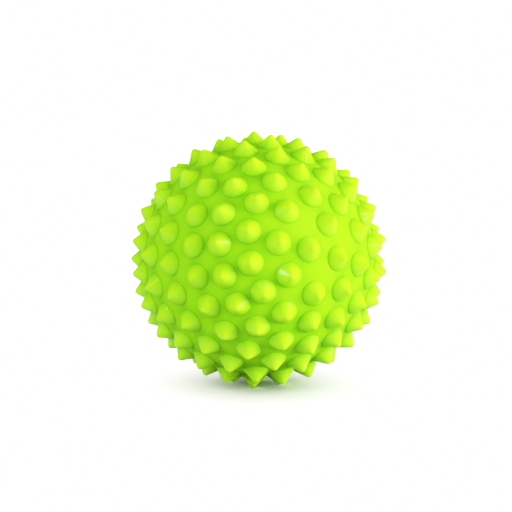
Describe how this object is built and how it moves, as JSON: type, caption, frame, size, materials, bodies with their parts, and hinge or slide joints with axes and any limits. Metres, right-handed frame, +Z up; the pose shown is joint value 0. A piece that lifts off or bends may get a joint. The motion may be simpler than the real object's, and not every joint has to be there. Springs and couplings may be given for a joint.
{
  "type": "massage ball",
  "caption": "Hollow soft vinyl ball covered in rows of short conical massage spikes moulded in one with its skin, with an air valve closed by a push-in plug.",
  "frame": {"origin": "on the table under the ball's centre; the ball rests on its three lowest spike tips at z = 0", "axes": "+Z up with the ball at rest; the mould axis leans 15 degrees above the horizontal towards -Y and +X, and the valve faces the opposite way, towards +Y and -X"},
  "size_m": [0.0896, 0.0895, 0.089],
  "materials": {
    "lime_vinyl": "satin lime green soft vinyl",
    "valve_rubber": "matte green rubber",
    "plug_plastic": "natural milky plastic"
  },
  "bodies": {
    "ball": {"spiked_shell": "lime_vinyl", "valve_seat": "valve_rubber"},
    "plug": {"valve_plug": "plug_plastic"}
  },
  "joints": [
    {"name": "plug_pull", "type": "slide", "parent": "ball", "child": "plug", "axis": [-0.5502, 0.7913, -0.2667], "range_m": [0, 0.012]}
  ]
}
